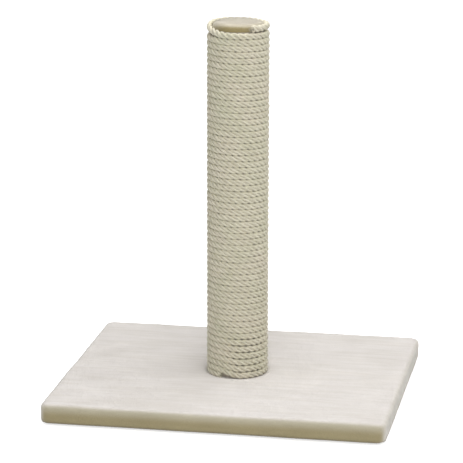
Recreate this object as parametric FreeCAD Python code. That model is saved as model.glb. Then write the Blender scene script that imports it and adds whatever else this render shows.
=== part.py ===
import FreeCAD
import Part

import math
import os

# Cat scratching post: a plush-covered board that carries one upright cardboard tube, wound from its foot to
# its top with sisal rope and closed with a plush-covered disc. The tube stands on a single bolt that comes
# up through the board. Sizes are in millimetres. The origin is the middle of the footprint on the floor,
# +Z is up and -Y is the front.

Vector = FreeCAD.Vector
UP = Vector(0, 0, 1)
FULL_TURN = 2 * math.pi

# --- base: board, plush cover, lining and pads -------------------------------------------------------
base_width = 400.0          # over the plush, along X
base_depth = 350.0          # over the plush, along Y
board_thickness = 16.0
board_corner_radius = 8.0   # in plan
pile_thickness = 4.0        # plush on the top and the sides of the board
cover_edge_radius = 5.8     # soft upper edge of the cover, under half of the corner's radius in plan
cover_hem_chamfer = 2.5     # where the cover turns under the board
hem_thickness = 3.5         # plush turned under the board
hem_width = 40.0
hem_slit = 0.8              # width of the mitre cut at each corner of the hem
lining_thickness = 0.6
lining_margin = 16.0        # strip of hem left showing round the lining
lining_hole_radius = 20.0
pad_radius = 12.5
pad_height = 2.0
pad_inset = 42.0            # pad centre from each edge of the base

# --- bolt, washer and tee nut ------------------------------------------------------------------------
bolt_radius = 4.0
bolt_length = 40.0
bolt_tip_chamfer = 0.8
head_across_flats = 13.0
head_height = 5.3
bolt_clearance = 0.5        # radial, in the washer, the board and the plug
thread_clearance = 0.05     # radial, in the tee nut
washer_radius = 15.0
washer_thickness = 1.5
recess_radius = 17.0        # counterbore under the board
recess_depth = 7.0
nut_flange_radius = 11.0
nut_flange_thickness = 1.6
nut_barrel_radius = 5.4
nut_barrel_length = 11.0
nut_prongs = 3
prong_width = 3.0
prong_thickness = 1.0
prong_length = 6.0

# --- post: tube and plugs ----------------------------------------------------------------------------
tube_radius = 30.0
tube_wall = 3.5
post_sink = 1.5             # how far the foot of the post presses into the plush
plug_thickness = 20.0
plug_clearance = 0.1        # radial, in the tube

# --- sisal rope --------------------------------------------------------------------------------------
rope_diameter = 6.75
rope_sides = 5              # facets round the rope
rope_pitch = 7.2
rope_full_turns = 57        # from the first row at the front to the last
rope_seat = 0.1             # between the tube and the rope
rope_start_turn = 0.03      # turns from the front, towards the left, where the rope starts
rope_end_turn = 0.86        # part of a turn past the last full one, ending at the right of the front
rope_lift_turn = 0.3        # part of a turn in which the loose end climbs beside the cap
rope_end_rise = 8.0         # how far it climbs
shaped_turns = 3            # turns modelled one by one at the foot, and as many rows at the top
path_steps = 2              # biarcs in each full turn
gap_samples = 48            # points in each turn at which the rope's gap to itself is measured

# --- cap ---------------------------------------------------------------------------------------------
cap_inset = 0.5             # from the outside of the tube to the cap's widest place
cap_foot_inset = 1.2        # where the cap's side draws in above the tube
cap_shoulder_inset = 3.5    # where its side turns over into the top
cap_height = 8.0
cap_crown = 1.4             # how far the middle stands above the shoulder
cap_crown_inset = 10.0      # where the crown levels out
cap_foam_thickness = 1.4
cap_pile = 2.5              # plush round the disc and over the foam
cap_hem_thickness = 1.2
cap_hem_width = 7.0
cap_disc_thickness = 3.0
cap_gap = 2.0               # tube left showing at the front, between the rope and the cap

# --- staples -----------------------------------------------------------------------------------------
wire_width = 1.2
wire_thickness = 0.6
hem_staple_crown = 10.0
hem_staple_leg = 8.0
hem_staple_inset = 32.0     # from the edge of the base
lining_staple_inset = 21.0
plug_staple_crown = 8.0
plug_staple_leg = 9.0
plug_staple_count = 3
rope_staple_crown = 7.0
rope_staple_leg = 9.5        # through the rope, into the wall of the tube
rope_staple_sink = 0.3      # how deep the crown is driven below the rope's ridge
rope_staple_turns = [0.35, 56.6]
cap_staple_crown = 5.0
cap_staple_leg = 3.2
cap_staple_count = 3
staples_long_side = 3
staples_short_side = 2
staple_clearance = 0.02     # round each leg in its hole
pocket_clearance = 0.3      # radial, round the foot of the post in the plush

# --- heights, from the floor up ----------------------------------------------------------------------
lining_bottom = pad_height
hem_bottom = lining_bottom + lining_thickness
board_bottom = hem_bottom + hem_thickness
board_top = board_bottom + board_thickness
cover_top = board_top + pile_thickness
post_foot = cover_top - post_sink
recess_top = board_bottom + recess_depth
washer_bottom = recess_top - washer_thickness
rope_foot = post_foot + rope_diameter / 2
last_front_row_top = rope_foot + rope_full_turns * rope_pitch + rope_diameter / 2
tube_top = last_front_row_top + cap_gap
cap_disc_bottom = tube_top + cap_hem_thickness
cap_disc_top = cap_disc_bottom + cap_disc_thickness
cap_foam_top = cap_disc_top + cap_foam_thickness

# --- radii and plan sizes that follow ----------------------------------------------------------------
board_width = base_width - 2 * pile_thickness
board_depth = base_depth - 2 * pile_thickness
cover_corner_radius = board_corner_radius + pile_thickness
tube_bore_radius = tube_radius - tube_wall
plug_radius = tube_bore_radius - plug_clearance
rope_inner_radius = tube_radius + rope_seat
rope_path_radius = rope_inner_radius + rope_diameter / 2
rope_outer_radius = rope_inner_radius + rope_diameter
bolt_hole_radius = bolt_radius + bolt_clearance
cap_radius = tube_radius - cap_inset
cap_foot_radius = tube_radius - cap_foot_inset
cap_shoulder_radius = tube_radius - cap_shoulder_inset
cap_crown_radius = tube_radius - cap_crown_inset
cap_core_radius = cap_foot_radius - cap_pile


def cylinder(radius, bottom, top):
    return Part.makeCylinder(radius, top - bottom, UP * bottom)


def ring(inner_radius, outer_radius, bottom, top):
    return cylinder(outer_radius, bottom, top).cut(cylinder(inner_radius, bottom, top))


def plate(width, depth, bottom, top):
    return Part.makeBox(width, depth, top - bottom, Vector(-width / 2, -depth / 2, bottom))


def slab(width, depth, corner_radius, bottom, top):
    """A plate centred on the axis, with rounded corners in plan."""
    box = plate(width, depth, bottom, top)
    uprights = [e for e in box.Edges if abs(e.tangentAt(e.FirstParameter).z) > 0.99]
    return box.makeFillet(corner_radius, uprights)


def rounded_top(solid, height, radius):
    """Rounds the outer rim of the flat top at the given height."""
    top = [f for f in solid.Faces if abs(f.BoundBox.ZMin - height) < 1e-6 and f.BoundBox.ZLength < 1e-6][0]
    return solid.makeFillet(radius, top.OuterWire.Edges)


def bevelled_bottom(solid, height, size):
    """Bevels the outer rim of the flat underside at the given height."""
    low = [f for f in solid.Faces if abs(f.BoundBox.ZMax - height) < 1e-6 and f.BoundBox.ZLength < 1e-6][0]
    return solid.makeChamfer(size, low.OuterWire.Edges)


def around(shape, count, first_angle=0.0):
    """Copies of a shape, evenly spaced about the post's axis."""
    copies = []
    for i in range(count):
        copy = shape.copy()
        copy.rotate(Vector(0, 0, 0), UP, first_angle + 360.0 * i / count)
        copies.append(copy)
    return copies


# --- staples -----------------------------------------------------------------------------------------

def staple(crown, leg, grow):
    """A staple with its crown along X and its legs along +Z, made larger all round by grow."""
    def bar(length, height, left):
        return Part.makeBox(length + 2 * grow, wire_width + 2 * grow, height + 2 * grow,
                            Vector(left - grow, -wire_width / 2 - grow, -grow))
    legs = [bar(wire_thickness, leg, left) for left in (-crown / 2, crown / 2 - wire_thickness)]
    return bar(crown, wire_thickness, -crown / 2).fuse(legs).removeSplitter()


def placed(shape, position, crown_axis, leg_axis):
    turn = FreeCAD.Rotation(crown_axis, leg_axis.cross(crown_axis), leg_axis, "ZXY")
    shape.Placement = FreeCAD.Placement(position, turn)
    return shape


def staples_round_base(inset, height, grow):
    """A row of staples along each side of the underside, driven upwards."""
    half_x = base_width / 2 - inset
    half_y = base_depth / 2 - inset
    made = []
    for i in range(staples_long_side):
        x = half_x * (2 * (i + 0.5) / staples_long_side - 1)
        for y in (-half_y, half_y):
            made.append(placed(staple(hem_staple_crown, hem_staple_leg, grow), Vector(x, y, height),
                               Vector(1, 0, 0), UP))
    for i in range(staples_short_side):
        y = half_y * (2 * (i + 0.5) / staples_short_side - 1)
        for x in (-half_x, half_x):
            made.append(placed(staple(hem_staple_crown, hem_staple_leg, grow), Vector(x, y, height),
                               Vector(0, 1, 0), UP))
    return made


def hem_staple_set(grow):
    return staples_round_base(hem_staple_inset, hem_bottom, grow)


def lining_staple_set(grow):
    return staples_round_base(lining_staple_inset, lining_bottom - wire_thickness, grow)


def plug_staple_set(plug_bottom, grow):
    """Staples driven through the tube into a plug, upright and flush with the tube."""
    made = []
    for i in range(plug_staple_count):
        angle = FULL_TURN * (i + 0.25) / plug_staple_count
        outwards = Vector(math.cos(angle), math.sin(angle), 0)
        position = outwards * (tube_radius - staple_clearance) + UP * (plug_bottom + plug_thickness / 2)
        made.append(placed(staple(plug_staple_crown, plug_staple_leg, grow), position, UP, outwards * -1))
    return made


def rope_staple_set(grow):
    """Staples driven through the rope into the tube at the back, near both ends of the rope."""
    made = []
    for turn in rope_staple_turns:
        centre = rope_point(turn)
        outwards = Vector(centre.x, centre.y, 0).normalize()
        position = centre + outwards * (rope_diameter / 2 - rope_staple_sink)
        sideways = UP.cross(outwards)
        made.append(placed(staple(rope_staple_crown, rope_staple_leg, grow), position, sideways,
                           outwards * -1))
    return made


def cap_staple_set(grow):
    """Staples driven upwards through the cap's hem into its disc."""
    made = []
    for i in range(cap_staple_count):
        angle = FULL_TURN * (i + 0.5) / cap_staple_count
        outwards = Vector(math.cos(angle), math.sin(angle), 0)
        position = outwards * (cap_core_radius - cap_hem_width / 2) + UP * tube_top
        made.append(placed(staple(cap_staple_crown, cap_staple_leg, grow), position, UP.cross(outwards), UP))
    return made


def hem_staples():
    return hem_staple_set(0)


def lining_staples():
    return lining_staple_set(0)


def bottom_plug_staples():
    return plug_staple_set(post_foot, 0)


def top_plug_staples():
    return plug_staple_set(tube_top - plug_thickness, 0)


def rope_staples():
    return rope_staple_set(0)


def cap_staples():
    return cap_staple_set(0)


# --- base --------------------------------------------------------------------------------------------

def base_board():
    board = slab(board_width, board_depth, board_corner_radius, board_bottom, board_top)
    board = board.cut(cylinder(bolt_hole_radius, board_bottom, board_top))
    board = board.cut(cylinder(recess_radius, board_bottom, recess_top))
    return board.cut(hem_staple_set(staple_clearance) + lining_staple_set(staple_clearance))


def hem_opening():
    """The bare middle of the underside, inside the turned-in hem."""
    return plate(base_width - 2 * hem_width, base_depth - 2 * hem_width, hem_bottom, board_bottom)


def mitre_slits():
    """The diagonal cut in the hem at each corner, where the plush is folded on itself."""
    reach = hem_width * 2
    slits = []
    for side_x in (-1, 1):
        for side_y in (-1, 1):
            blade = Part.makeBox(reach, hem_slit, hem_thickness,
                                 Vector(-reach, -hem_slit / 2, hem_bottom))
            blade.rotate(Vector(0, 0, 0), UP, math.degrees(math.atan2(side_y, side_x)))
            corner = Vector(side_x * (base_width / 2 - cover_corner_radius),
                            side_y * (base_depth / 2 - cover_corner_radius), 0)
            blade.translate(corner)
            slits.append(blade)
    return slits


def plush_cover():
    """One sheet of plush over the top and the sides, turned under the board as a hem."""
    cover = slab(base_width, base_depth, cover_corner_radius, hem_bottom, cover_top)
    cover = rounded_top(cover, cover_top, cover_edge_radius)
    cover = bevelled_bottom(cover, hem_bottom, cover_hem_chamfer)
    cover = cover.cut(slab(board_width, board_depth, board_corner_radius, board_bottom, board_top))
    cover = cover.cut(hem_opening())
    cover = cover.cut(mitre_slits())
    cover = cover.cut(cylinder(rope_outer_radius + pocket_clearance, post_foot, cover_top))
    cover = cover.cut(cylinder(bolt_hole_radius, board_top, post_foot))
    return cover.cut(hem_staple_set(staple_clearance) + lining_staple_set(staple_clearance))


def underside_lining():
    lining = plate(base_width - 2 * lining_margin, base_depth - 2 * lining_margin, lining_bottom,
                   hem_bottom)
    lining = lining.cut(cylinder(lining_hole_radius, lining_bottom, hem_bottom))
    return lining.cut(lining_staple_set(staple_clearance))


def foot_pads():
    pads = []
    for side_x in (-1, 1):
        for side_y in (-1, 1):
            pad = cylinder(pad_radius, 0, pad_height)
            pad.translate(Vector(side_x * (base_width / 2 - pad_inset),
                                 side_y * (base_depth / 2 - pad_inset), 0))
            pads.append(pad)
    return pads


# --- bolt, washer and tee nut ------------------------------------------------------------------------

def clamp_bolt():
    """Hexagon-head bolt, head down in the recess under the board."""
    corner = head_across_flats / math.sqrt(3)
    hexagon = [Vector(corner * math.cos(math.radians(60 * i)), corner * math.sin(math.radians(60 * i)),
                      washer_bottom - head_height) for i in range(7)]
    head = Part.Face(Part.makePolygon(hexagon)).extrude(UP * head_height)
    shank = cylinder(bolt_radius, washer_bottom, washer_bottom + bolt_length)
    tip = [e for e in shank.Edges if abs(e.BoundBox.ZMin - (washer_bottom + bolt_length)) < 1e-6]
    return head.fuse(shank.makeChamfer(bolt_tip_chamfer, tip)).removeSplitter()


def bolt_washer():
    return ring(bolt_hole_radius, washer_radius, washer_bottom, recess_top)


def tee_nut():
    """Flanged nut with prongs, pressed into the inner face of the bottom plug."""
    seat = post_foot + plug_thickness
    body = cylinder(nut_flange_radius, seat, seat + nut_flange_thickness)
    body = body.fuse(cylinder(nut_barrel_radius, seat - nut_barrel_length, seat))
    prong = Part.makeBox(prong_thickness, prong_width, prong_length,
                         Vector(nut_flange_radius - prong_thickness, -prong_width / 2, seat - prong_length))
    prong = prong.common(cylinder(nut_flange_radius, seat - prong_length, seat))
    body = body.fuse(around(prong, nut_prongs)).removeSplitter()
    bore_radius = bolt_radius + thread_clearance
    return body.cut(cylinder(bore_radius, seat - nut_barrel_length, seat + nut_flange_thickness))


# --- post --------------------------------------------------------------------------------------------

def plug_staple_holes():
    return (plug_staple_set(post_foot, staple_clearance)
            + plug_staple_set(tube_top - plug_thickness, staple_clearance))


def post_tube():
    tube = ring(tube_bore_radius, tube_radius, post_foot, tube_top)
    return tube.cut(plug_staple_holes() + rope_staple_set(staple_clearance))


def plug(bottom):
    """A turned wooden disc that fills one end of the tube."""
    disc = cylinder(plug_radius, bottom, bottom + plug_thickness)
    return disc.cut(plug_staple_holes())


def bottom_plug():
    bolt_way = cylinder(bolt_hole_radius, post_foot, post_foot + plug_thickness)
    nut_way = cylinder(nut_barrel_radius, post_foot + plug_thickness - nut_barrel_length,
                       post_foot + plug_thickness)
    return plug(post_foot).cut([bolt_way, nut_way, tee_nut()])


def top_plug():
    return plug(tube_top - plug_thickness)


# --- rope --------------------------------------------------------------------------------------------

def rope_angle(turn):
    """The rope starts at the front and goes round to the left."""
    return -FULL_TURN * (turn + rope_start_turn) - math.pi / 2


def rope_rise(turn):
    """Height of the rope's centre above its first turn: even, then a quick climb for the loose end."""
    if turn <= rope_full_turns:
        return rope_pitch * turn
    s = min((turn - rope_full_turns) / rope_lift_turn, 1.0)
    carried_on = rope_pitch * rope_lift_turn * (s ** 3 - 2 * s ** 2 + s)
    climbed = rope_end_rise * (3 * s ** 2 - 2 * s ** 3)
    return rope_pitch * rope_full_turns + carried_on + climbed


def rope_point(turn):
    angle = rope_angle(turn)
    return Vector(rope_path_radius * math.cos(angle), rope_path_radius * math.sin(angle),
                  rope_foot + rope_rise(turn))


def rope_direction(turn):
    angle = rope_angle(turn)
    step = 1e-4
    climb = (rope_rise(turn + step) - rope_rise(turn - step)) / (2 * step)
    around_speed = FULL_TURN * rope_path_radius
    return Vector(around_speed * math.sin(angle), -around_speed * math.cos(angle), climb).normalize()


def tangent_arc(start, direction, end):
    """The arc that leaves start in the given direction and reaches end."""
    chord = end - start
    along = Vector(chord).normalize()
    side = direction - along * direction.dot(along)
    half_angle = math.atan2(side.Length, direction.dot(along)) / 2
    middle = start + chord * 0.5 + side.normalize() * (chord.Length / 2 * math.tan(half_angle))
    return Part.Arc(start, middle, end).toShape()


def biarc(start, start_direction, end, end_direction):
    """Two arcs that meet smoothly and join two points of the rope in its own directions there."""
    gap = end - start
    both = start_direction + end_direction
    a = 2 * (1 - start_direction.dot(end_direction))
    b = 2 * gap.dot(both)
    c = -gap.dot(gap)
    reach = (-b + math.sqrt(b * b - 4 * a * c)) / (2 * a)
    meeting = (start + end + (start_direction - end_direction) * reach) * 0.5
    back = tangent_arc(end, end_direction * -1, meeting)
    return [tangent_arc(start, start_direction, meeting), back]


def rope_path(first_turn, last_turn):
    steps = round((min(last_turn, rope_full_turns) - first_turn) * path_steps)
    knots = [first_turn + i / path_steps for i in range(steps + 1)]
    if last_turn > rope_full_turns:
        knots += [rope_full_turns + rope_lift_turn, last_turn]
    edges = []
    for a, b in zip(knots, knots[1:]):
        edges += biarc(rope_point(a), rope_direction(a), rope_point(b), rope_direction(b))
    return Part.Wire(Part.__sortEdges__(edges))


def rope_winding(first_turn, last_turn):
    """Turns of rope as one unbroken faceted tube."""
    start = rope_point(first_turn)
    outwards = Vector(start.x, start.y, 0).normalize()
    corners = []
    for i in range(rope_sides):
        angle = FULL_TURN * (i + 0.5) / rope_sides
        corners.append(start + (outwards * math.cos(angle) + UP * math.sin(angle)) * (rope_diameter / 2))
    shell = Part.BRepOffsetAPI.MakePipeShell(rope_path(first_turn, last_turn))
    shell.add(Part.makePolygon(corners + corners[:1]))
    shell.build()
    shell.makeSolid()
    return shell.shape()


def plain_stretch(first_turn, last_turn):
    """The turns between the two shaped windings, as one plain sleeve of the rope's thickness."""
    margin = rope_pitch - rope_diameter / 2
    bottom = rope_foot + rope_pitch * first_turn + margin
    top = rope_foot + rope_pitch * last_turn - margin
    return ring(rope_inner_radius, rope_outer_radius, bottom, top)


def rope_self_gap():
    """Least distance between the top of one turn and the bottom of the next, measured on points."""
    least = rope_pitch
    for i in range(int((rope_full_turns + rope_end_turn - 1) * gap_samples)):
        ridge = rope_point(i / gap_samples) + UP * (rope_diameter / 2)
        for j in range(-3, 4):
            furrow = rope_point((i + j) / gap_samples + 1) - UP * (rope_diameter / 2)
            least = min(least, ridge.distanceToPoint(furrow))
    return least


def sisal_rope():
    end_turn = rope_full_turns + rope_end_turn
    upper_start = rope_full_turns + 1 - shaped_turns
    print("least gap of the rope to itself:", round(rope_self_gap(), 3), "mm")
    holes = rope_staple_set(staple_clearance)
    lower = rope_winding(0, shaped_turns).cut(holes)
    upper = rope_winding(upper_start, end_turn).cut(holes)
    return [lower, plain_stretch(shaped_turns, upper_start), upper]


# --- cap ---------------------------------------------------------------------------------------------

def cap_body():
    """Outer shape of the cap: its side swells and draws in again, under a low crown."""
    side_height = cap_height - cap_crown
    half_section = [(0, 0), (cap_foot_radius, 0), (cap_radius, side_height / 2),
                    (cap_shoulder_radius, side_height), (cap_crown_radius, cap_height), (0, cap_height)]
    corners = [Vector(out, 0, tube_top + up) for out, up in half_section]
    return Part.Face(Part.makePolygon(corners + corners[:1])).revolve(Vector(0, 0, 0), UP, 360)


def cap_disc():
    disc = cylinder(cap_core_radius, cap_disc_bottom, cap_disc_top)
    return disc.cut(cap_staple_set(staple_clearance))


def cap_foam():
    return cylinder(cap_core_radius, cap_disc_top, cap_foam_top)


def cap_cover():
    """Plush drawn over the foam and the disc and turned under as a hem."""
    cover = cap_body().cut(cylinder(cap_core_radius, cap_disc_bottom, cap_foam_top))
    cover = cover.cut(cylinder(cap_core_radius - cap_hem_width, tube_top, cap_disc_bottom))
    return cover.cut(cap_staple_set(staple_clearance))


PARTS = {
    "base_board": base_board,
    "plush_cover": plush_cover,
    "underside_lining": underside_lining,
    "foot_pads": foot_pads,
    "clamp_bolt": clamp_bolt,
    "bolt_washer": bolt_washer,
    "tee_nut": tee_nut,
    "post_tube": post_tube,
    "bottom_plug": bottom_plug,
    "top_plug": top_plug,
    "sisal_rope": sisal_rope,
    "cap_disc": cap_disc,
    "cap_foam": cap_foam,
    "cap_cover": cap_cover,
    "hem_staples": hem_staples,
    "lining_staples": lining_staples,
    "bottom_plug_staples": bottom_plug_staples,
    "top_plug_staples": top_plug_staples,
    "rope_staples": rope_staples,
    "cap_staples": cap_staples,
}

os.makedirs("parts", exist_ok=True)
for name, make in PARTS.items():
    made = make()
    shape = Part.makeCompound(made) if isinstance(made, list) else made
    print(name, shape.isValid(), len(shape.Solids), round(shape.Volume, 1))
    shape.exportStep("parts/" + name + ".step")
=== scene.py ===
import math

import bpy
import numpy as np
from mathutils import Matrix, Vector, noise

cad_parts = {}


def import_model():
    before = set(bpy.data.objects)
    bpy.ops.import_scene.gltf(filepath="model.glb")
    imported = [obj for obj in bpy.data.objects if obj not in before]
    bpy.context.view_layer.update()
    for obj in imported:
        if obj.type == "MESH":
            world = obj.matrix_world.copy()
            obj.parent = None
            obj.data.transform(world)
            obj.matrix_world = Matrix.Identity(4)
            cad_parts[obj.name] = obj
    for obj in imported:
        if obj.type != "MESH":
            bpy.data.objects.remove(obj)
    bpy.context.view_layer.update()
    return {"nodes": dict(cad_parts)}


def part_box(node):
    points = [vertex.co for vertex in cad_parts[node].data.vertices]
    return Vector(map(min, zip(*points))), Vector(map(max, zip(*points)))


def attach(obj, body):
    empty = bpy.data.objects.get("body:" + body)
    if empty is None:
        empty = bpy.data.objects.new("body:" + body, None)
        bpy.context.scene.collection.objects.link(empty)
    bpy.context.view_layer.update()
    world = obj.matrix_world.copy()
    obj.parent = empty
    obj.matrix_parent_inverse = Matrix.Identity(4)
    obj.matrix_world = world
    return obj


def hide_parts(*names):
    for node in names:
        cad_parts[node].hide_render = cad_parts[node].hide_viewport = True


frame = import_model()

# Dresses the scratching post: plush with its pile, three-strand sisal rope, cap, lining and the small
# hardware below. Lengths are in metres, in the CAD frame.

MM = 0.001
FULL_TURN = 2 * math.pi
random = np.random.default_rng(7)

# --- places read from the frame ----------------------------------------------------------------------
cover_low, cover_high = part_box("plush_cover")
board_low, board_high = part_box("base_board")
tube_low, tube_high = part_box("post_tube")
cap_low, cap_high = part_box("cap_cover")
lining_low, lining_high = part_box("underside_lining")
tube_radius = tube_high[0]
post_foot = tube_low[2]
pile_proud = 1.6 * MM           # how far the pile stands out past the CAD's solid
half_width = cover_high[0] + pile_proud
half_depth = cover_high[1]

# --- rope: the same winding as the CAD's, row by row -------------------------------------------------
rope_diameter = 6.75 * MM
rope_pitch = 7.2 * MM
rope_full_turns = 57
rope_start_turn = 0.03
rope_end_turn = 0.86
rope_lift_turn = 0.3
rope_end_rise = 8.0 * MM
loose_end_sag = 0.5 * MM        # how far the loose end comes down again towards its cut
rope_seat = 0.1 * MM            # between the rope and the tube
step_start = 0.07               # turns past the CAD's start at which each step ends
rope_tuck = 0.03                # part of a turn by which the rope's start lies under the first step
step_length = 0.15              # part of a turn in which a row near the foot climbs on to the next
step_fade = 7                   # rows over which the steps pass into an even helix
strand_count = 3
strand_lay = 23 * MM            # length in which a strand goes once round the rope
strand_radius = 1.80 * MM
lay_reach = 1.66 * MM           # from the rope's centre line to a strand's, away from the tube
lay_spread = 2.18 * MM          # the same up and down, where the rows press on each other
strand_step = 1.7 * MM          # between cross sections
strand_sides = 12
strand_unevenness = 0.042       # share of the strand's radius, from one point to the next
strand_swell = 0.09             # the same, slowly along the strand
row_wander = 0.2 * MM           # how far a row strays up and down
groove_painted_light = 0.34              # painted light: how much paler the fibres are painted down between the rows, against the shade there
groove_top = 1.5 * MM           # depth below the strands' tops at which that begins
groove_depth = 1.6 * MM         # and over which it grows
fray_length = 0.035             # part of a turn over which the strands open at the rope's cut end
fray = 0.3                      # share by which they open
path_radius = tube_radius + rope_seat + rope_diameter / 2
rope_foot = post_foot + rope_diameter / 2

# --- fibres that stand off the rope ------------------------------------------------------------------
fibre_count = 7400
start_fibres = 60               # in the tuft at the rope's start
cut_fibres = 90                 # and at its cut end
fibre_radius = 0.05 * MM
fibre_segments = 4

# --- plush -------------------------------------------------------------------------------------------
plush_cell = 2.1 * MM
plush_plan_radius = 11.5 * MM
plush_top_radius = 5.8 * MM
plush_bottom_radius = 3.6 * MM
hem_width = 40 * MM
pocket_radius = 36.4 * MM       # the post's foot presses the plush down out to here
pocket_slope = 3.0 * MM
mitre_depth = 0.8 * MM          # groove where the hem's ends meet at a corner
mitre_width = 3.2 * MM
bolt_opening = 6 * MM           # half width of the opening that the bolt passes through

# --- pile: tufts of plush, each a small leaning spike ------------------------------------------------
base_tufts = 49000              # in each of the base's pieces of pile
base_pile_pieces = 2
cap_tufts = 5000
tuft_root = 0.62 * MM           # half its width
tuft_height = 0.35 * MM
tuft_lean = 1.3 * MM            # how far its tip lies over to one side
tuft_sink = 0.35 * MM           # its foot, below the skin

# --- cloth below ---------------------------------------------------------------------------------------
lining_cell = 2.6 * MM
lining_hole = 20 * MM
lining_thickness = 0.16 * MM
lining_slack = 0.22 * MM

# --- camera, fitted to the photograph ----------------------------------------------------------------
camera_place = (0.515, -2.842, 0.9376)
camera_yaw = math.radians(10.42)
camera_pitch = math.radians(14.37)
camera_roll = math.radians(0.1)
camera_lens = 195.0
sensor_width = 36.0

# --- light ---------------------------------------------------------------------------------------------
lamps = {                       # place, what it is aimed at, size and watts
    "overhead": ((0.3, -0.1, 1.9), (0, 0, 0.15), (1.3, 1.1), 16.5),
    "front": ((0.7, -2.1, 1.3), (0, 0, 0.25), (1.6, 1.4), 20),
    "right": ((2.2, -0.3, 0.9), (0, 0, 0.1), (0.8, 0.8), 2),
}
sky_light = 0.62
floor_light = 0.62              # the floor's own, which only the camera sees


# ======================================================================================================
# Small helpers
# ======================================================================================================

def new_mesh(name, points, faces, uv=None, smooth=True):
    mesh = bpy.data.meshes.new(name)
    mesh.from_pydata([tuple(p) for p in points], [], [tuple(f) for f in faces])
    if uv is not None:
        layer = mesh.uv_layers.new(name="along")
        corner = np.empty(len(mesh.loops), dtype=np.int32)
        mesh.loops.foreach_get("vertex_index", corner)
        layer.data.foreach_set("uv", np.asarray(uv, dtype=np.float32)[corner].ravel())
    mesh.polygons.foreach_set("use_smooth", [smooth] * len(mesh.polygons))
    mesh.update()
    piece = bpy.data.objects.new(name, mesh)
    bpy.context.scene.collection.objects.link(piece)
    return piece


def finished(piece, material, slot, *replaced):
    piece.data.materials.clear()
    piece.data.materials.append(material)
    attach(piece, "root")
    if replaced:
        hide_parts(*replaced)
    return piece


def tube_faces(rings, sides, first=0, caps=True):
    """Quads that join rings of points, each with the same number of sides, and its two ends."""
    ring, side = np.meshgrid(np.arange(rings - 1), np.arange(sides), indexing="ij")
    a = first + ring * sides + side
    b = first + ring * sides + (side + 1) % sides
    quads = np.stack([a, b, b + sides, a + sides], axis=-1).reshape(-1, 4).tolist()
    if caps:
        quads.append([first + i for i in reversed(range(sides))])
        quads.append([first + (rings - 1) * sides + i for i in range(sides)])
    return quads


def waves(points, scale, depth=3, seed=0.0):
    """Smooth noise between -1 and 1 at each point."""
    shift = Vector((seed, seed * 1.7, -seed))
    return np.array([noise.fractal(Vector(p) / scale + shift, 1.0, 2.0, depth) for p in points])


def smooth_step(share):
    share = np.clip(share, 0, 1)
    return share * share * (3 - 2 * share)


def unit(vectors):
    return vectors / np.maximum(np.linalg.norm(vectors, axis=1), 1e-9)[:, None]


def tinted(piece, colours):
    """Stores a tint for each point of the piece, which its material multiplies its colour by; the tints
    carry painted light and painted shade, and small tone changes.
    """
    layer = piece.data.color_attributes.new("tint", "FLOAT_COLOR", "POINT")
    layer.data.foreach_set("color", np.column_stack([colours, np.ones(len(colours))]).ravel())
    return piece


# ======================================================================================================
# Materials
# ======================================================================================================

class Shader:
    """A node material with one Principled shader and short calls for the nodes that feed it."""

    def __init__(self, name, roughness, **values):
        self.material = bpy.data.materials.new(name)
        self.material.use_nodes = True
        self.nodes = self.material.node_tree.nodes
        self.links = self.material.node_tree.links
        self.main = self.nodes["Principled BSDF"]
        self.main.inputs["Roughness"].default_value = roughness
        for key, value in values.items():
            self.main.inputs[key.replace("_", " ")].default_value = value

    def link(self, source, node, socket):
        self.links.new(source, node.inputs[socket])

    def place(self, scale, source="Object", turn=(0, 0, 0)):
        coordinates = self.nodes.new("ShaderNodeTexCoord")
        mapping = self.nodes.new("ShaderNodeMapping")
        mapping.inputs["Scale"].default_value = scale
        mapping.inputs["Rotation"].default_value = turn
        self.link(coordinates.outputs[source], mapping, "Vector")
        return mapping.outputs["Vector"]

    def noise(self, place, scale=1.0, detail=4.0, roughness=0.55, distortion=0.0):
        node = self.nodes.new("ShaderNodeTexNoise")
        node.inputs["Scale"].default_value = scale
        node.inputs["Detail"].default_value = detail
        node.inputs["Roughness"].default_value = roughness
        node.inputs["Distortion"].default_value = distortion
        self.link(place, node, "Vector")
        return node.outputs["Fac"]

    def tint(self):
        """The tint that tinted() stored for each point."""
        node = self.nodes.new("ShaderNodeAttribute")
        node.attribute_name = "tint"
        return node.outputs["Color"]

    def cells(self, place, scale=1.0, output="Distance"):
        node = self.nodes.new("ShaderNodeTexVoronoi")
        node.inputs["Scale"].default_value = scale
        self.link(place, node, "Vector")
        return node.outputs[output]

    def ramp(self, source, *stops):
        node = self.nodes.new("ShaderNodeValToRGB")
        elements = node.color_ramp.elements
        while len(elements) < len(stops):
            elements.new(0.5)
        for element, (position, colour) in zip(elements, stops):
            element.position = position
            element.color = (*colour, 1) if hasattr(colour, "__len__") else (colour, colour, colour, 1)
        self.link(source, node, "Fac")
        return node.outputs["Color"]

    def blend(self, share, first, second, kind="MIX"):
        node = self.nodes.new("ShaderNodeMix")
        node.data_type = "RGBA"
        node.blend_type = kind
        if hasattr(share, "default_value"):
            self.links.new(share, node.inputs["Factor"])
        else:
            node.inputs["Factor"].default_value = share
        self.links.new(first, node.inputs[6])
        self.links.new(second, node.inputs[7])
        return node.outputs[2]

    def add(self, first, second, weight=1.0):
        node = self.nodes.new("ShaderNodeMath")
        node.operation = "MULTIPLY_ADD"
        self.links.new(second, node.inputs[0])
        node.inputs[1].default_value = weight
        self.links.new(first, node.inputs[2])
        return node.outputs["Value"]

    def colour(self, source):
        self.link(source, self.main, "Base Color")

    def rough(self, source, low, high):
        node = self.nodes.new("ShaderNodeMapRange")
        node.inputs["To Min"].default_value = low
        node.inputs["To Max"].default_value = high
        self.link(source, node, "Value")
        self.link(node.outputs["Result"], self.main, "Roughness")

    def bump(self, height, distance, strength=1.0):
        node = self.nodes.new("ShaderNodeBump")
        node.inputs["Distance"].default_value = distance
        node.inputs["Strength"].default_value = strength
        self.link(height, node, "Height")
        self.link(node.outputs["Normal"], self.main, "Normal")


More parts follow.
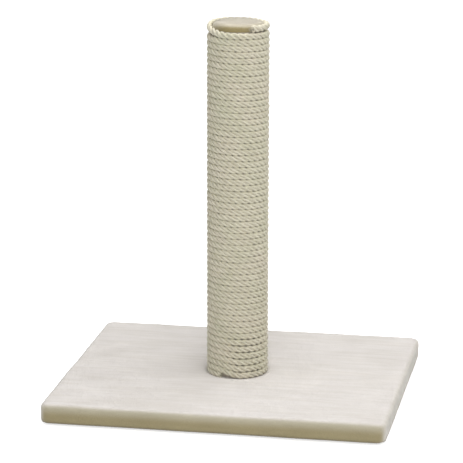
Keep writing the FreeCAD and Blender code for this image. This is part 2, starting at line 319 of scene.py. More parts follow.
def sisal_material(name, light, dark, with_painted_groove_light=False):
    """Straw-coloured fibres that run along the strand, with darker and paler bundles. With painted groove
    light, the tint that the strands carry paints them paler between the rows, against the shade that falls
    there."""
    shader = Shader(name, 0.82, Sheen_Weight=0.15, Sheen_Roughness=0.6, Specular_IOR_Level=0.25)
    fine = shader.noise(shader.place((420, 34, 1), "UV", (0, 0, math.radians(2.0))), 1.0, 5.0, 0.6)
    bundles = shader.noise(shader.place((70, 7, 1), "UV"), 1.0, 3.0, 0.5)
    patches = shader.noise(shader.place((34, 34, 34)), 1.0, 3.0, 0.5)
    body = shader.ramp(bundles, (0.30, dark), (0.55, light), (0.80, [min(1, c * 1.12) for c in light]))
    grain = shader.ramp(fine, (0.25, 0.76), (0.5, 0.95), (0.75, 1.0))
    tint = shader.ramp(patches, (0.3, (0.93, 0.95, 0.88)), (0.7, (1.0, 0.985, 0.96)))
    colour = shader.blend(1.0, shader.blend(1.0, body, grain, "MULTIPLY"), tint, "MULTIPLY")
    shader.colour(shader.blend(1.0, colour, shader.tint(), "MULTIPLY") if with_painted_groove_light else colour)
    shader.bump(shader.add(fine, bundles, 1.5), 0.35 * MM, 0.9)
    shader.rough(fine, 0.92, 0.72)
    return shader.material


def plush_material(name, light, dark):
    """Short dense pile: fine specks, soft patches where the nap leans and long faint streaks."""
    shader = Shader(name, 0.95, Sheen_Weight=0.35, Sheen_Roughness=0.5, Specular_IOR_Level=0.1)
    specks = shader.noise(shader.place((900, 900, 900)), 1.0, 3.0, 0.6)
    tufts = shader.noise(shader.place((330, 330, 330)), 1.0, 4.0, 0.65)
    patches = shader.noise(shader.place((16, 24, 16)), 1.0, 3.0, 0.5, 0.6)
    streaks = shader.noise(shader.place((14, 150, 60)), 1.0, 3.0, 0.5, 0.3)
    body = shader.ramp(patches, (0.32, dark), (0.55, light), (0.75, [min(1, c * 1.05) for c in light]))
    speckled = shader.ramp(specks, (0.3, 0.92), (0.6, 1.0))
    streaked = shader.ramp(streaks, (0.35, (0.93, 0.925, 0.90)), (0.6, (1.0, 1.0, 1.0)))
    colour = shader.blend(1.0, body, speckled, "MULTIPLY")
    colour = shader.blend(0.9, colour, streaked, "MULTIPLY")
    # the tint carries painted shade
    shader.colour(shader.blend(1.0, colour, shader.tint(), "MULTIPLY"))
    shader.bump(shader.add(tufts, specks, 0.6), 0.5 * MM, 0.6)
    return shader.material


def pile_material(name, light, dark):
    """The tufts: the plush's soft patches, times each tuft's own tint, which carries painted shade."""
    shader = Shader(name, 0.95, Sheen_Weight=0.3, Sheen_Roughness=0.5, Specular_IOR_Level=0.1)
    patches = shader.noise(shader.place((16, 24, 16)), 1.0, 3.0, 0.5, 0.6)
    clumps = shader.noise(shader.place((120, 120, 120)), 1.0, 3.0, 0.6)
    body = shader.ramp(patches, (0.32, dark), (0.55, light), (0.75, [min(1, c * 1.05) for c in light]))
    streaks = shader.noise(shader.place((14, 150, 60)), 1.0, 3.0, 0.5, 0.3)
    mottled = shader.ramp(clumps, (0.35, 0.97), (0.6, 1.0))
    streaked = shader.ramp(streaks, (0.35, (0.925, 0.92, 0.905)), (0.6, (1.0, 1.0, 1.0)))
    colour = shader.blend(1.0, shader.blend(1.0, body, mottled, "MULTIPLY"), streaked, "MULTIPLY")
    shader.colour(shader.blend(1.0, colour, shader.tint(), "MULTIPLY"))
    return shader.material


def chipboard_material():
    shader = Shader("chipboard", 0.85, Specular_IOR_Level=0.2)
    flakes = shader.cells(shader.place((260, 420, 260)), 1.0, "Color")
    dust = shader.noise(shader.place((700, 700, 700)), 1.0, 3.0)
    body = shader.ramp(flakes, (0.1, (0.42, 0.30, 0.18)), (0.5, (0.60, 0.47, 0.31)),
                       (0.9, (0.72, 0.60, 0.43)))
    shader.colour(shader.blend(0.35, body, shader.ramp(dust, (0.3, 0.35), (0.7, 1.0)), "MULTIPLY"))
    shader.bump(shader.add(dust, flakes, 0.7), 0.25 * MM, 0.6)
    return shader.material


def cardboard_material():
    """Grey-brown board with the faint spiral seams of a wound tube."""
    shader = Shader("tube_board", 0.88, Specular_IOR_Level=0.2)
    wave = shader.nodes.new("ShaderNodeTexWave")
    wave.inputs["Scale"].default_value = 1.0
    wave.inputs["Distortion"].default_value = 0.4
    shader.link(shader.place((9, 9, 16), "Object", (0.5, 0, 0)), wave, "Vector")
    pulp = shader.noise(shader.place((300, 300, 120)), 1.0, 5.0, 0.6)
    body = shader.ramp(pulp, (0.3, (0.33, 0.29, 0.25)), (0.7, (0.47, 0.42, 0.37)))
    seams = shader.ramp(wave.outputs["Fac"], (0.0, 0.72), (0.06, 1.0))
    shader.colour(shader.blend(1.0, body, seams, "MULTIPLY"))
    shader.bump(pulp, 0.12 * MM, 0.6)
    return shader.material


def wood_material():
    shader = Shader("plug_wood", 0.6, Specular_IOR_Level=0.35)
    rings = shader.noise(shader.place((30, 260, 30)), 1.0, 4.0, 0.55, 1.2)
    pores = shader.noise(shader.place((160, 1300, 160)), 1.0, 3.0, 0.6)
    body = shader.ramp(rings, (0.3, (0.52, 0.35, 0.19)), (0.5, (0.68, 0.50, 0.30)),
                       (0.7, (0.74, 0.58, 0.38)))
    shader.colour(shader.blend(0.5, body, shader.ramp(pores, (0.3, 0.6), (0.6, 1.0)), "MULTIPLY"))
    shader.bump(pores, 0.08 * MM, 0.5)
    return shader.material


def zinc_material(name, roughness, tone):
    """Zinc-plated steel: soft cloudy grey with a little brushing."""
    shader = Shader(name, roughness, Metallic=1.0)
    clouds = shader.noise(shader.place((140, 140, 140)), 1.0, 4.0, 0.6)
    brush = shader.noise(shader.place((2500, 2500, 90)), 1.0, 2.0)
    shader.colour(shader.ramp(clouds, (0.3, [c * 0.82 for c in tone]), (0.7, tone)))
    shader.rough(clouds, roughness - 0.08, roughness + 0.12)
    shader.bump(brush, 0.03 * MM, 0.5)
    return shader.material


def lining_material():
    """Black non-woven cloth with its grid of small welded dimples."""
    shader = Shader("lining_felt", 0.9, Specular_IOR_Level=0.2, Sheen_Weight=0.1)
    dimples = shader.cells(shader.place((420, 420, 420)), 1.0)
    threads = shader.noise(shader.place((900, 900, 900)), 1.0, 5.0, 0.7, 0.8)
    shader.colour(shader.ramp(threads, (0.3, (0.018, 0.018, 0.02)), (0.7, (0.06, 0.06, 0.065))))
    shader.bump(shader.add(threads, dimples, 0.8), 0.2 * MM, 0.8)
    return shader.material


def pad_material():
    shader = Shader("pad_rubber", 0.85, Specular_IOR_Level=0.25)
    cells = shader.cells(shader.place((1300, 1300, 1300)), 1.0)
    shader.colour(shader.ramp(cells, (0.1, (0.03, 0.03, 0.032)), (0.6, (0.085, 0.085, 0.09))))
    shader.bump(cells, 0.15 * MM, 0.7)
    return shader.material


def floor_material():
    """White studio floor: a little light of its own, for the camera alone, keeps it white."""
    material = bpy.data.materials.new("studio_floor")
    material.use_nodes = True
    nodes = material.node_tree.nodes
    links = material.node_tree.links
    main = nodes["Principled BSDF"]
    main.inputs["Base Color"].default_value = (0.93, 0.93, 0.93, 1)
    main.inputs["Roughness"].default_value = 1.0
    main.inputs["Specular IOR Level"].default_value = 0.0
    main.inputs["Emission Color"].default_value = (1, 1, 1, 1)
    path = nodes.new("ShaderNodeLightPath")
    own_light = nodes.new("ShaderNodeMath")
    own_light.operation = "MULTIPLY"
    own_light.inputs[1].default_value = floor_light
    links.new(path.outputs["Is Camera Ray"], own_light.inputs[0])
    links.new(own_light.outputs["Value"], main.inputs["Emission Strength"])
    return material


SISAL_LIGHT = (0.68, 0.645, 0.54)
SISAL_DARK = (0.555, 0.51, 0.40)
FIBRE_LIGHT = (0.71, 0.675, 0.575)
FIBRE_DARK = (0.57, 0.525, 0.415)
PLUSH_LIGHT = (0.80, 0.757, 0.722)
PLUSH_DARK = (0.762, 0.718, 0.68)
PLUSH_BROW_SHADE = (0.60, 0.585, 0.47)    # painted shade on the sides of the pile, where the light falls less: at the front's upper edge,
PLUSH_FRONT_SHADE = (0.41, 0.37, 0.225)   # down the front
PLUSH_FLANK_SHADE = (0.77, 0.765, 0.715)   # and elsewhere
FOOT_SHADE = 0.5                    # how much darker the front's lower edge is
FOOT_SHADE_HEIGHT = 4.5 * MM
SEAM_SHADE = 0.55                   # and how much darker the hem's seams are
CAP_TINT = (1.01, 0.98, 0.84)
TUFT_FOOT_SHADE = 0.995                   # painted shade: brightness of a tuft's foot against its tip

sisal = sisal_material("sisal", SISAL_LIGHT, SISAL_DARK, with_painted_groove_light=True)
sisal_fibre = sisal_material("sisal_fibre", FIBRE_LIGHT, FIBRE_DARK)
plush = plush_material("plush", PLUSH_LIGHT, PLUSH_DARK)
plush_pile = pile_material("plush_pile", PLUSH_LIGHT, PLUSH_DARK)
staple_wire = zinc_material("staple_wire", 0.38, (0.60, 0.60, 0.585))
zinc_steel = zinc_material("zinc_steel", 0.34, (0.66, 0.665, 0.66))

carried_over = {
    "base_board": chipboard_material(),
    "cap_disc": bpy.data.materials["chipboard"],
    "post_tube": cardboard_material(),
    "bottom_plug": wood_material(),
    "top_plug": bpy.data.materials["plug_wood"],
    "clamp_bolt": zinc_steel,
    "bolt_washer": zinc_steel,
    "tee_nut": zinc_steel,
    "foot_pads": pad_material(),
    "hem_staples": staple_wire,
    "lining_staples": staple_wire,
    "bottom_plug_staples": staple_wire,
    "top_plug_staples": staple_wire,
    "rope_staples": staple_wire,
    "cap_staples": staple_wire,
}
for node_name, node_material in carried_over.items():
    node = frame["nodes"][node_name]
    node.data.materials.clear()
    node.data.materials.append(node_material)


# ======================================================================================================
# Sisal rope
# ======================================================================================================

def rope_rise(turn):
    """Rows near the foot lie level and step up at the front; further up they climb evenly."""
    s = np.clip((turn - rope_full_turns) / rope_lift_turn, 0, 1)
    carried_on = rope_pitch * rope_lift_turn * (s ** 3 - 2 * s ** 2 + s)
    climbed = rope_end_rise * smooth_step(s)
    climbed -= loose_end_sag * smooth_step((turn - rope_full_turns) / rope_lift_turn - 1)
    past_step = (turn - step_start) % 1 - (turn < step_start)
    level = step_start + past_step - smooth_step((past_step - 1 + step_length) / step_length)
    stepped = np.clip(1 - turn / step_fade, 0, 1)
    return rope_pitch * (np.minimum(turn, rope_full_turns) - stepped * level) + carried_on + climbed


def rope_frame(turn):
    """Centre, outward, across and forward directions of the rope at each turn value."""
    angle = -FULL_TURN * (turn + rope_start_turn) - math.pi / 2
    outward = np.stack([np.cos(angle), np.sin(angle), np.zeros_like(angle)], axis=1)
    centre = outward * path_radius
    centre[:, 2] = rope_foot + rope_rise(turn)
    forward = np.gradient(centre, axis=0)
    forward /= np.linalg.norm(forward, axis=1)[:, None]
    across = np.cross(forward, outward)
    return centre, outward, across, forward


def along_rope():
    turns = rope_full_turns + rope_end_turn
    first = step_start - rope_tuck
    length = (turns - first) * FULL_TURN * path_radius
    turn = np.linspace(first, turns, int(length / strand_step))
    return turn, turn * FULL_TURN * path_radius


rope_turn, rope_length = along_rope()
rope_centre, rope_outward, rope_across, rope_forward = rope_frame(rope_turn)
wander = waves(rope_centre * [1, 1, 3.0], 26 * MM, 2, 3.0)
rope_centre[:, 2] += row_wander * wander * np.clip(rope_turn, 0, 1)


def strand(index):
    """One of the rope's strands, a closed tube that is laid round the rope's centre line."""
    uneven_lay = waves(np.stack([rope_length, rope_length * 0, rope_length * 0], axis=1), 90 * MM, 2, 11.0)
    phase = FULL_TURN * (rope_length / strand_lay + index / strand_count + 0.05 * uneven_lay)
    out = np.cos(phase)[:, None] * rope_outward + np.sin(phase)[:, None] * rope_across
    side = -np.sin(phase)[:, None] * rope_outward + np.cos(phase)[:, None] * rope_across
    lean = math.atan(FULL_TURN * lay_reach / strand_lay)
    opened = 1 + fray * smooth_step(1 - (rope_turn[-1] - rope_turn) / fray_length)[:, None]
    centre = (rope_centre + lay_reach * opened * np.cos(phase)[:, None] * rope_outward
              + lay_spread * opened * np.sin(phase)[:, None] * rope_across)
    around = FULL_TURN * np.arange(strand_sides) / strand_sides
    seeds = np.stack([rope_length, rope_length * 0 + index, rope_length * 0], axis=1)
    swell = 1 + strand_swell * waves(seeds, 16 * MM, 2, 5.0 + index)
    ridges = random.normal(0, 1, (len(rope_turn), strand_sides))
    kernel = np.array([0.25, 0.5, 0.25])
    for side_index in range(strand_sides):
        ridges[:, side_index] = np.convolve(ridges[:, side_index], kernel, "same")
    radius = strand_radius * swell[:, None] * (1 + strand_unevenness * ridges)
    points = (centre[:, None, :]
              + (radius * np.cos(around))[:, :, None] * out[:, None, :]
              + (radius * np.sin(around) / math.cos(lean))[:, :, None] * side[:, None, :])
    points = points.reshape(-1, 3)
    reach = np.hypot(points[:, 0], points[:, 1])
    pressed = np.maximum(reach, tube_radius + 0.05 * MM) / reach
    points[:, :2] *= pressed[:, None]
    points[:, 2] = np.maximum(points[:, 2], post_foot + 0.05 * MM)
    along = np.repeat(rope_length / math.cos(lean), strand_sides)
    uv = np.stack([along, np.tile(np.arange(strand_sides) / strand_sides, len(rope_turn)) + index], axis=1)
    piece = new_mesh(f"sisal_strand_{index + 1}", points, tube_faces(len(rope_turn), strand_sides), uv)
    # painted light: the fibres down between the rows are painted paler, against the shade that falls there
    depth = path_radius + lay_reach + strand_radius - np.hypot(points[:, 0], points[:, 1])
    groove_light = 1 + groove_painted_light * smooth_step((depth - groove_top) / groove_depth)
    return tinted(piece, np.repeat(groove_light[:, None], 3, axis=1))


def hair(root, ways, length, bend, radius):
    """Points of a thin three-sided hair that leaves root along ways[0] and curls towards ways[1]."""
    steps = np.linspace(0, 1, fibre_segments + 1)
    line = root + ways[0] * (length * steps)[:, None] + ways[1] * (bend * steps ** 2)[:, None]
    side = np.cross(ways[0], ways[1])
    side /= max(np.linalg.norm(side), 1e-9)
    up = np.cross(side, ways[0])
    rings = []
    for centre, step in zip(line, steps):
        thin = radius * (1 - 0.7 * step)
        for corner in range(3):
            angle = FULL_TURN * corner / 3
            rings.append(centre + thin * (math.cos(angle) * side + math.sin(angle) * up))
    return rings


def stray_fibres():
    """Loose ends of fibre that stand off the rope all over, and a frayed tuft at each of its ends."""
    points = []
    faces = []
    last = len(rope_turn) - 1
    roots = np.concatenate([random.integers(0, last, fibre_count),
                            np.full(start_fibres, 0), np.full(cut_fibres, last)])
    for number, place in enumerate(roots):
        at_end = number >= fibre_count
        angle = random.uniform(-1.2, 1.2) if not at_end else random.uniform(0, FULL_TURN)
        out = math.cos(angle) * rope_outward[place] + math.sin(angle) * rope_across[place]
        forward = rope_forward[place] * (1 if random.random() < 0.5 else -1)
        depth = rope_diameter / 2 * (0.9 if not at_end else random.uniform(0.1, 0.85))
        root = rope_centre[place] + out * depth
        if at_end:
            forward = rope_forward[place] * (1 if place else -1)
            way = forward + out * random.uniform(0.05, 0.45)
            length = random.uniform(2, 6) * MM
        else:
            lift = random.uniform(0.03, 0.3) if random.random() < 0.6 else random.uniform(0.25, 0.8)
            way = forward * random.uniform(0.5, 1.0) + out * lift + random.normal(0, 0.4, 3)
            length = random.uniform(2.5, 8) * MM
        way /= np.linalg.norm(way)
        curl = random.normal(0, 1, 3) + out * 0.5
        curl /= np.linalg.norm(curl)
        rings = hair(root, (way, curl), length, length * random.uniform(0.1, 0.45),
                     fibre_radius * random.uniform(0.6, 1.3))
        reach = [math.hypot(p[0], p[1]) for p in rings]
        if min(reach) < tube_radius + rope_diameter * 0.4 and not at_end:
            continue
        if min(p[2] for p in rings) < cover_high[2] - 1 * MM or max(p[2] for p in rings) > cap_high[2]:
            continue
        faces += tube_faces(fibre_segments + 1, 3, len(points))
        points += rings
    uv = [(p[2] * 3, p[0] * 20) for p in points]
    return new_mesh("sisal_fibres", points, faces, uv)


for number in range(strand_count):
    finished(strand(number), sisal, "sisal", *(["sisal_rope"] if number == 0 else []))
finished(stray_fibres(), sisal_fibre, "sisal")


# ======================================================================================================
# Plush over the base
# ======================================================================================================

def squared_to_round(a, b):
    """Maps a square corner onto a quarter disc, keeping the two sides that meet it."""
    longest = np.maximum(np.abs(a), np.abs(b))
    reach = np.hypot(a, b)
    share = np.where(reach > 0, longest / np.maximum(reach, 1e-12), 1.0)
    return a * share, b * share


def grid_sheet(points_by_row):
    rows, columns = points_by_row.shape[:2]
    row, column = np.meshgrid(np.arange(rows - 1), np.arange(columns - 1), indexing="ij")
    first = row * columns + column
    return points_by_row.reshape(-1, 3), np.stack(
        [first, first + 1, first + columns + 1, first + columns], axis=-1).reshape(-1, 4)


def box_skin():
    """The sheet before it is rounded: top, four sides, and the hem turned under, as one welded grid."""
    top, bottom = cover_high[2], cover_low[2]
    xs = np.linspace(-half_width, half_width, round(2 * half_width / plush_cell) + 1)
    ys = np.linspace(-half_depth, half_depth, round(2 * half_depth / plush_cell) + 1)
    zs = np.linspace(top, bottom, round((top - bottom) / plush_cell) + 1)
    parts = []
    gx, gy = np.meshgrid(xs, ys)
    parts.append(np.stack([gx, gy, np.full_like(gx, top)], axis=-1))
    for side in (-1, 1):
        gx, gz = np.meshgrid(xs if side < 0 else xs[::-1], zs[::-1])
        parts.append(np.stack([gx, np.full_like(gx, side * half_depth), gz], axis=-1))
        gy, gz = np.meshgrid(ys[::-1] if side < 0 else ys, zs[::-1])
        parts.append(np.stack([np.full_like(gy, side * half_width), gy, gz], axis=-1))
    gx, gy = np.meshgrid(xs, ys[::-1])
    under = np.stack([gx, gy, np.full_like(gx, bottom)], axis=-1)
    all_points = []
    all_faces = []
    count = 0
    for part in parts + [under]:
        points, faces = grid_sheet(part)
        if part is under:
            middle = points[faces].mean(axis=1)
            inset = np.minimum(half_width - np.abs(middle[:, 0]), half_depth - np.abs(middle[:, 1]))
            faces = faces[inset < hem_width]
        all_points.append(points)
        all_faces.append(faces + count)
        count += len(points)
    return welded(np.concatenate(all_points), np.concatenate(all_faces))


def welded(points, faces):
    """Joins points that lie together and drops the unused ones."""
    keys = np.round(points / 1e-6).astype(np.int64)
    used, index = np.unique(keys, axis=0, return_inverse=True)
    index = index.ravel()
    joined = np.zeros((len(used), 3))
    joined[index] = points
    faces = index[faces]
    kept, again = np.unique(faces, return_inverse=True)
    return joined[kept], again.reshape(faces.shape)


def rounded_skin(points):
    """Rounds the plan corners and the upper and lower edges, and returns outward directions as well."""
    top, bottom = cover_high[2], cover_low[2]
    inner = np.array([half_width - plush_plan_radius, half_depth - plush_plan_radius])
    core = np.clip(points[:, :2], -inner, inner)
    off = points[:, :2] - core
    dx, dy = squared_to_round(off[:, 0], off[:, 1])
    out = np.hypot(dx, dy)
    edge = plush_plan_radius - out
    direction = np.stack([dx, dy], axis=1) / np.maximum(out, 1e-9)[:, None]
    upper = points[:, 2] > (top + bottom) / 2
    radius = np.where(upper, plush_top_radius, plush_bottom_radius)
    level = np.where(upper, top - points[:, 2], points[:, 2] - bottom)
    u = np.clip(radius - edge, 0, None)
    v = np.clip(radius - level, 0, None)
    both = (u > 0) & (v > 0)
    ru, rv = squared_to_round(u, v)
    edge = np.where(both, radius - ru, edge)
    level = np.where(both, radius - rv, level)
    z = np.where(upper, top - level, bottom + level)
    placed = core + direction * (plush_plan_radius - edge)[:, None]
    placed = np.where((out > 0)[:, None], placed, points[:, :2])
    normal = np.zeros_like(points)
    normal[:, :2] = direction * np.clip(ru / np.maximum(radius, 1e-9), 0, 1)[:, None]
    normal[:, 2] = np.where(upper, 1, -1) * np.clip(rv / np.maximum(radius, 1e-9), 0, 1)
    side = (level > radius) & (edge < 1e-9)
    normal[side, :2] = direction[side]
    normal[side, 2] = 0
    size = np.linalg.norm(normal, axis=1)
    normal /= np.maximum(size, 1e-9)[:, None]
    return np.column_stack([placed, z]), normal


def plush_side_shade(points, normal, top, depth):
    """Painted shade by facing: none on top, olive painted shade down the front and a paler painted shade
    on the other sides.
    """
    side = 1 - np.clip(normal[:, 2], 0, 1)[:, None] ** 5
    front = smooth_step((-normal[:, 1] - 0.4) / 0.55)[:, None]
    lower = smooth_step((top - points[:, 2]) / depth)[:, None]
    olive_shade = np.array(PLUSH_BROW_SHADE) * (1 - lower) + np.array(PLUSH_FRONT_SHADE) * lower
    sideways_shade = olive_shade * front + np.array(PLUSH_FLANK_SHADE) * (1 - front)
    return 1 - side * (1 - sideways_shade)


def base_painted_shade(points, normal):
    """The plush's painted side shade, with the painted shade along the front's lower edge."""
    tint = plush_side_shade(points, normal, cover_high[2] - 2 * MM, 12 * MM)
    low = smooth_step((cover_low[2] + FOOT_SHADE_HEIGHT - points[:, 2]) / FOOT_SHADE_HEIGHT)
    front = smooth_step(-2 * normal[:, 1])
    return tint * (1 - FOOT_SHADE * low * front)[:, None]


def pile(name, skin, count, tint, wanted):
    """Tufts that stand on a skin's four-sided faces: closed spikes that lean with the nap."""
    points, faces, normal = skin
    corners = points[faces]
    area = np.linalg.norm(np.cross(corners[:, 2] - corners[:, 0], corners[:, 3] - corners[:, 1]), axis=1)
    chosen = random.choice(len(faces), count, p=area / area.sum())
    u, v = random.random((2, count, 1))
    shares = [(1 - u) * (1 - v), u * (1 - v), u * v, (1 - u) * v]
    root = sum(share * corners[chosen, i] for i, share in enumerate(shares))
    out = unit(sum(share * normal[faces[chosen, i]] for i, share in enumerate(shares)))
    nap = np.array([0.25, -0.8, -0.5]) + random.normal(0, 0.55, (count, 3))
    nap -= out * (nap * out).sum(axis=1)[:, None]
    tip = root + out * tuft_height * random.uniform(0.7, 1.2, (count, 1)) + unit(nap) * tuft_lean
    across = unit(np.cross(out, random.normal(0, 1, (count, 3))))
    beside = np.cross(out, across)
    foot = root - out * tuft_sink
    kept = wanted(root, out, tip)
    thirds = [FULL_TURN * i / 3 for i in range(3)]
    ring = [foot + tuft_root * (math.cos(a) * across + math.sin(a) * beside) for a in thirds]
    tufts = np.stack(ring + [tip], axis=1)[kept]
    first = 4 * np.arange(len(tufts))[:, None, None]
    spikes = (first + np.array([[0, 2, 1], [0, 1, 3], [1, 2, 3], [2, 0, 3]])).reshape(-1, 3)
    piece = new_mesh(name, tufts.reshape(-1, 3), spikes)
    # painted shade at each tuft's foot, and a small random tone for each tuft
    foot_shade_and_tone = np.array([TUFT_FOOT_SHADE] * 3 + [1.0])[None, :, None]
    foot_shade_and_tone = foot_shade_and_tone * random.uniform(0.99, 1.01, (len(tufts), 1, 1))
    tinted(piece, (foot_shade_and_tone * tint(root[kept], out[kept])[:, None, :]).reshape(-1, 3))
    lit = unit((np.repeat(out[kept], 4, axis=0) + random.normal(0, 0.03, (4 * len(tufts), 3))))
    piece.data.normals_split_custom_set_from_vertices(lit.tolist())
    return piece


def base_skin():
    """The cover's points, faces and outward directions, with its swells, nap and mitred hem, and how
    far each point lies in the hem's seams."""
    points, faces = box_skin()
    points, normal = rounded_skin(points)
    flat_points = points.copy()
    soft = 0.45 * MM * waves(flat_points, 60 * MM, 2, 1.0)
    nap = 0.12 * MM * waves(flat_points, 9 * MM, 3, 2.0)
    tufts = 0.06 * MM * waves(flat_points, 3.2 * MM, 2, 4.0)
    below = points[:, 2] < cover_low[2] + 1 * MM
    amount = np.where(below, 0.35, 1.0)
    points += normal * ((soft + nap + tufts) * amount - 0.25 * MM)[:, None]
    crown = np.clip(1 - np.maximum(np.abs(flat_points[:, 0]) / half_width,
                                   np.abs(flat_points[:, 1]) / half_depth) ** 4, 0, 1)
    on_top = normal[:, 2] > 0.99
    points[on_top, 2] += 0.5 * MM * crown[on_top]
    reach = np.hypot(points[:, 0], points[:, 1])
    sunk = smooth_step((pocket_radius + pocket_slope - reach) / pocket_slope)
    pressed = (normal[:, 2] > 0.9) & (reach < pocket_radius + pocket_slope)
    points[pressed, 2] += (post_foot - 0.1 * MM - points[pressed, 2]) * sunk[pressed]
    inset = [half_width - np.abs(flat_points[:, 0]), half_depth - np.abs(flat_points[:, 1])]
    off_mitre = np.abs(inset[0] - inset[1]) / math.sqrt(2)
    in_corner = below & (np.maximum(*inset) < hem_width) & (np.minimum(*inset) > plush_bottom_radius)
    seam = np.where(in_corner, smooth_step(1 - off_mitre / mitre_width), 0)
    points[:, 2] += mitre_depth * seam
    middle = points[faces].mean(axis=1)
    keep = ~((np.hypot(middle[:, 0], middle[:, 1]) < bolt_opening) & (middle[:, 2] > board_low[2]))
    return points, faces[keep], normal, seam


def off_the_rope(root, out, tip):
    """Tufts of the base grow on its top and sides, outside the foot of the post."""
    clear = np.minimum(np.hypot(*root.T[:2]), np.hypot(*tip.T[:2])) > pocket_radius + 1.2 * MM
    return clear & (out[:, 2] > -0.6)


*plush_skin, hem_seam = base_skin()
plush_piece = new_mesh("base_plush", *plush_skin[:2])
# painted shade: the skin under the pile is painted darker (0.95), with its painted side and foot shade and
# painted shade along the hem's seams
tinted(plush_piece, 0.95 * base_painted_shade(plush_skin[0], plush_skin[2]) * (1 - SEAM_SHADE * hem_seam)[:, None])
finished(plush_piece, plush, "plush", "plush_cover")
for number in range(base_pile_pieces):
    piece = pile(f"base_pile_{number + 1}", plush_skin, base_tufts, base_painted_shade, off_the_rope)
    finished(piece, plush_pile, "plush")


# ======================================================================================================
# Cap
# ======================================================================================================

def cap_plush():
    """Soft round cap: a swelling side drawn down over the tube's rim, a shoulder and a low crown.
    Returns its skin of four-sided faces and the three-sided ones at the middle of the crown."""
    radius = cap_high[0]
    height = cap_high[2] - cap_low[2]
    outline = [(1.020, -0.21), (1.032, -0.19), (1.036, -0.10), (1.036, 0.05), (1.034, 0.20), (1.027, 0.35),
               (1.01, 0.49), (0.98, 0.63), (0.935, 0.76), (0.86, 0.86), (0.71, 0.935), (0.5, 0.975),
               (0.25, 0.995), (0.07, 1.0)]
    fine = []
    for (r0, h0), (r1, h1) in zip(outline, outline[1:]):
        for share in (0, 1 / 3, 2 / 3):
            fine.append((r0 + (r1 - r0) * share, h0 + (h1 - h0) * share))
    fine.append(outline[-1])
    sides = 180
    angle = FULL_TURN * np.arange(sides) / sides
    rows = [np.stack([np.cos(angle) * radius * r, np.sin(angle) * radius * r,
                      np.full(sides, cap_low[2] + height * h)], axis=1) for r, h in fine]
    points = np.concatenate(rows + [np.array([[0, 0, cap_high[2]]])])
    sides_round = tube_faces(len(rows), sides, caps=False)
    last = (len(rows) - 1) * sides
    middle = [[last + i, last + (i + 1) % sides, len(points) - 1] for i in range(sides)]
    normal = points - [0, 0, cap_low[2] + height * 0.35]
    normal[:, 2] *= 3
    normal /= np.linalg.norm(normal, axis=1)[:, None]
    lumps = 0.3 * MM * waves(points, 14 * MM, 2, 8.0) + 0.12 * MM * waves(points, 3 * MM, 2, 9.0)
    points += normal * (lumps - 0.25 * MM)[:, None]
    return (points, np.array(sides_round), facing(points, sides_round)), middle


def facing(points, faces):
    """Outward direction at each point, from the four-sided faces round it."""
    corners = points[faces]
    across = np.cross(corners[:, 2] - corners[:, 0], corners[:, 3] - corners[:, 1])
    total = np.zeros_like(points)
    for i in range(4):
        np.add.at(total, np.array(faces)[:, i], across)
    total[-1] = (0, 0, 1)
    return unit(total)


# the cap's painted side shade, times the cap's own tone
def cap_tone_and_painted_shade(points, normal):
    return plush_side_shade(points, normal, cap_high[2] - 1.5 * MM, 3 * MM) * CAP_TINT


def off_the_loose_end(root, out, tip):
    """Tufts of the cap keep clear of the rope's loose end beside it."""
    loose = rope_centre[rope_turn > rope_full_turns - 0.5]
    nearest = np.array([np.linalg.norm(loose - place, axis=1).min() for place in tip])
    return (nearest > rope_diameter / 2 + 0.4 * MM) & (out[:, 2] > -0.2)


cap_skin, cap_middle = cap_plush()
cap_piece = new_mesh("cap_plush", cap_skin[0], cap_skin[1].tolist() + cap_middle)
# painted shade: the cap's skin under its pile is painted darker (0.9)
tinted(cap_piece, 0.9 * cap_tone_and_painted_shade(cap_skin[0], cap_skin[2]))
finished(cap_piece, plush, "plush", "cap_cover", "cap_foam")
finished(pile("cap_pile", cap_skin, cap_tufts, cap_tone_and_painted_shade, off_the_loose_end), plush_pile, "plush")


# ======================================================================================================
# Underside
# ======================================================================================================

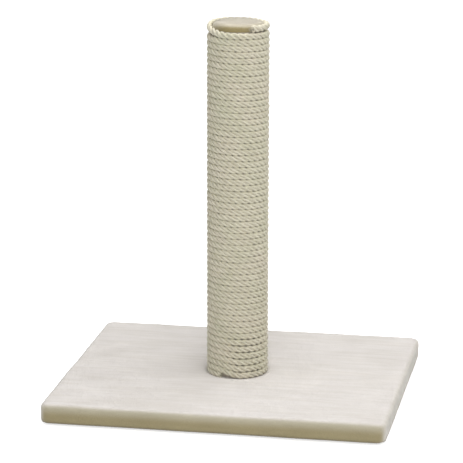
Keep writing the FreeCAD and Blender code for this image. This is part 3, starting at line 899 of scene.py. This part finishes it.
def lining_cloth():
    """Thin cloth under the base, slack between its staples, with a round hole for the bolt."""
    xs, ys = [np.linspace(low, high, round((high - low) / lining_cell) + 1)
              for low, high in zip(lining_low[:2], lining_high[:2])]
    gx, gy = np.meshgrid(xs, ys)
    points, faces = grid_sheet(np.stack([gx, gy, np.zeros_like(gx)], axis=-1))
    reach = np.hypot(points[:, 0], points[:, 1])
    near = np.abs(reach - lining_hole) < lining_cell * 0.75
    points[near, :2] *= (lining_hole / reach[near])[:, None]
    middle = points[faces].mean(axis=1)
    faces = faces[np.hypot(middle[:, 0], middle[:, 1]) > lining_hole]
    edge = np.minimum(lining_high[0] - np.abs(points[:, 0]), lining_high[1] - np.abs(points[:, 1]))
    ripple = waves(points * [1, 1, 0], 34 * MM, 3, 6.0)
    lower = lining_low[2] + 0.1 * MM
    points[:, 2] = lower + lining_slack * (1 + ripple) * np.clip(edge / (12 * MM), 0.2, 1)
    upper = points + [0, 0, lining_thickness]
    count = len(points)
    shell = [list(face) for face in faces] + [list(face[::-1] + count) for face in faces]
    edges = {}
    for face in faces:
        for a, b in zip(face, np.roll(face, -1)):
            edges[(a, b)] = True
    shell += [[b, a, a + count, b + count] for a, b in edges if (b, a) not in edges]
    shell = [face[::-1] for face in shell]
    return new_mesh("lining_cloth", np.concatenate([points, upper]), shell)


lining_piece = finished(lining_cloth(), lining_material(), "lining_felt", "underside_lining")


# ======================================================================================================
# Camera, light and floor
# ======================================================================================================

def camera():
    data = bpy.data.cameras.new("camera")
    data.lens = camera_lens
    data.sensor_width = sensor_width
    data.clip_end = 50
    item = bpy.data.objects.new("camera", data)
    bpy.context.scene.collection.objects.link(item)
    forward = Vector((-math.sin(camera_yaw) * math.cos(camera_pitch),
                      math.cos(camera_yaw) * math.cos(camera_pitch), -math.sin(camera_pitch)))
    item.location = camera_place
    item.rotation_euler = (forward.to_track_quat("-Z", "Y").to_matrix()
                           @ Matrix.Rotation(camera_roll, 3, "Z")).to_euler()
    bpy.context.scene.camera = item


def area_light(name, place, aim, size, power):
    data = bpy.data.lights.new(name, "AREA")
    data.shape = "RECTANGLE"
    data.size, data.size_y = size
    data.energy = power
    item = bpy.data.objects.new(name, data)
    bpy.context.scene.collection.objects.link(item)
    item.location = place
    item.rotation_euler = (Vector(aim) - Vector(place)).to_track_quat("-Z", "Y").to_euler()


def floor():
    mesh = bpy.data.meshes.new("studio_floor")
    half = 14.0
    corners = [(-half, -half, 0), (half, -half, 0), (half, half, 0), (-half, half, 0)]
    mesh.from_pydata(corners, [], [(0, 1, 2, 3)])
    item = bpy.data.objects.new("studio_floor", mesh)
    bpy.context.scene.collection.objects.link(item)
    item.data.materials.append(floor_material())


def world():
    scene_world = bpy.data.worlds.new("studio")
    bpy.context.scene.world = scene_world
    scene_world.use_nodes = True
    background = scene_world.node_tree.nodes["Background"]
    background.inputs["Color"].default_value = (1, 1, 1, 1)
    background.inputs["Strength"].default_value = sky_light


camera()
for lamp, settings in lamps.items():
    area_light(lamp, *settings)
floor()
world()
bpy.context.scene.view_settings.view_transform = "Standard"
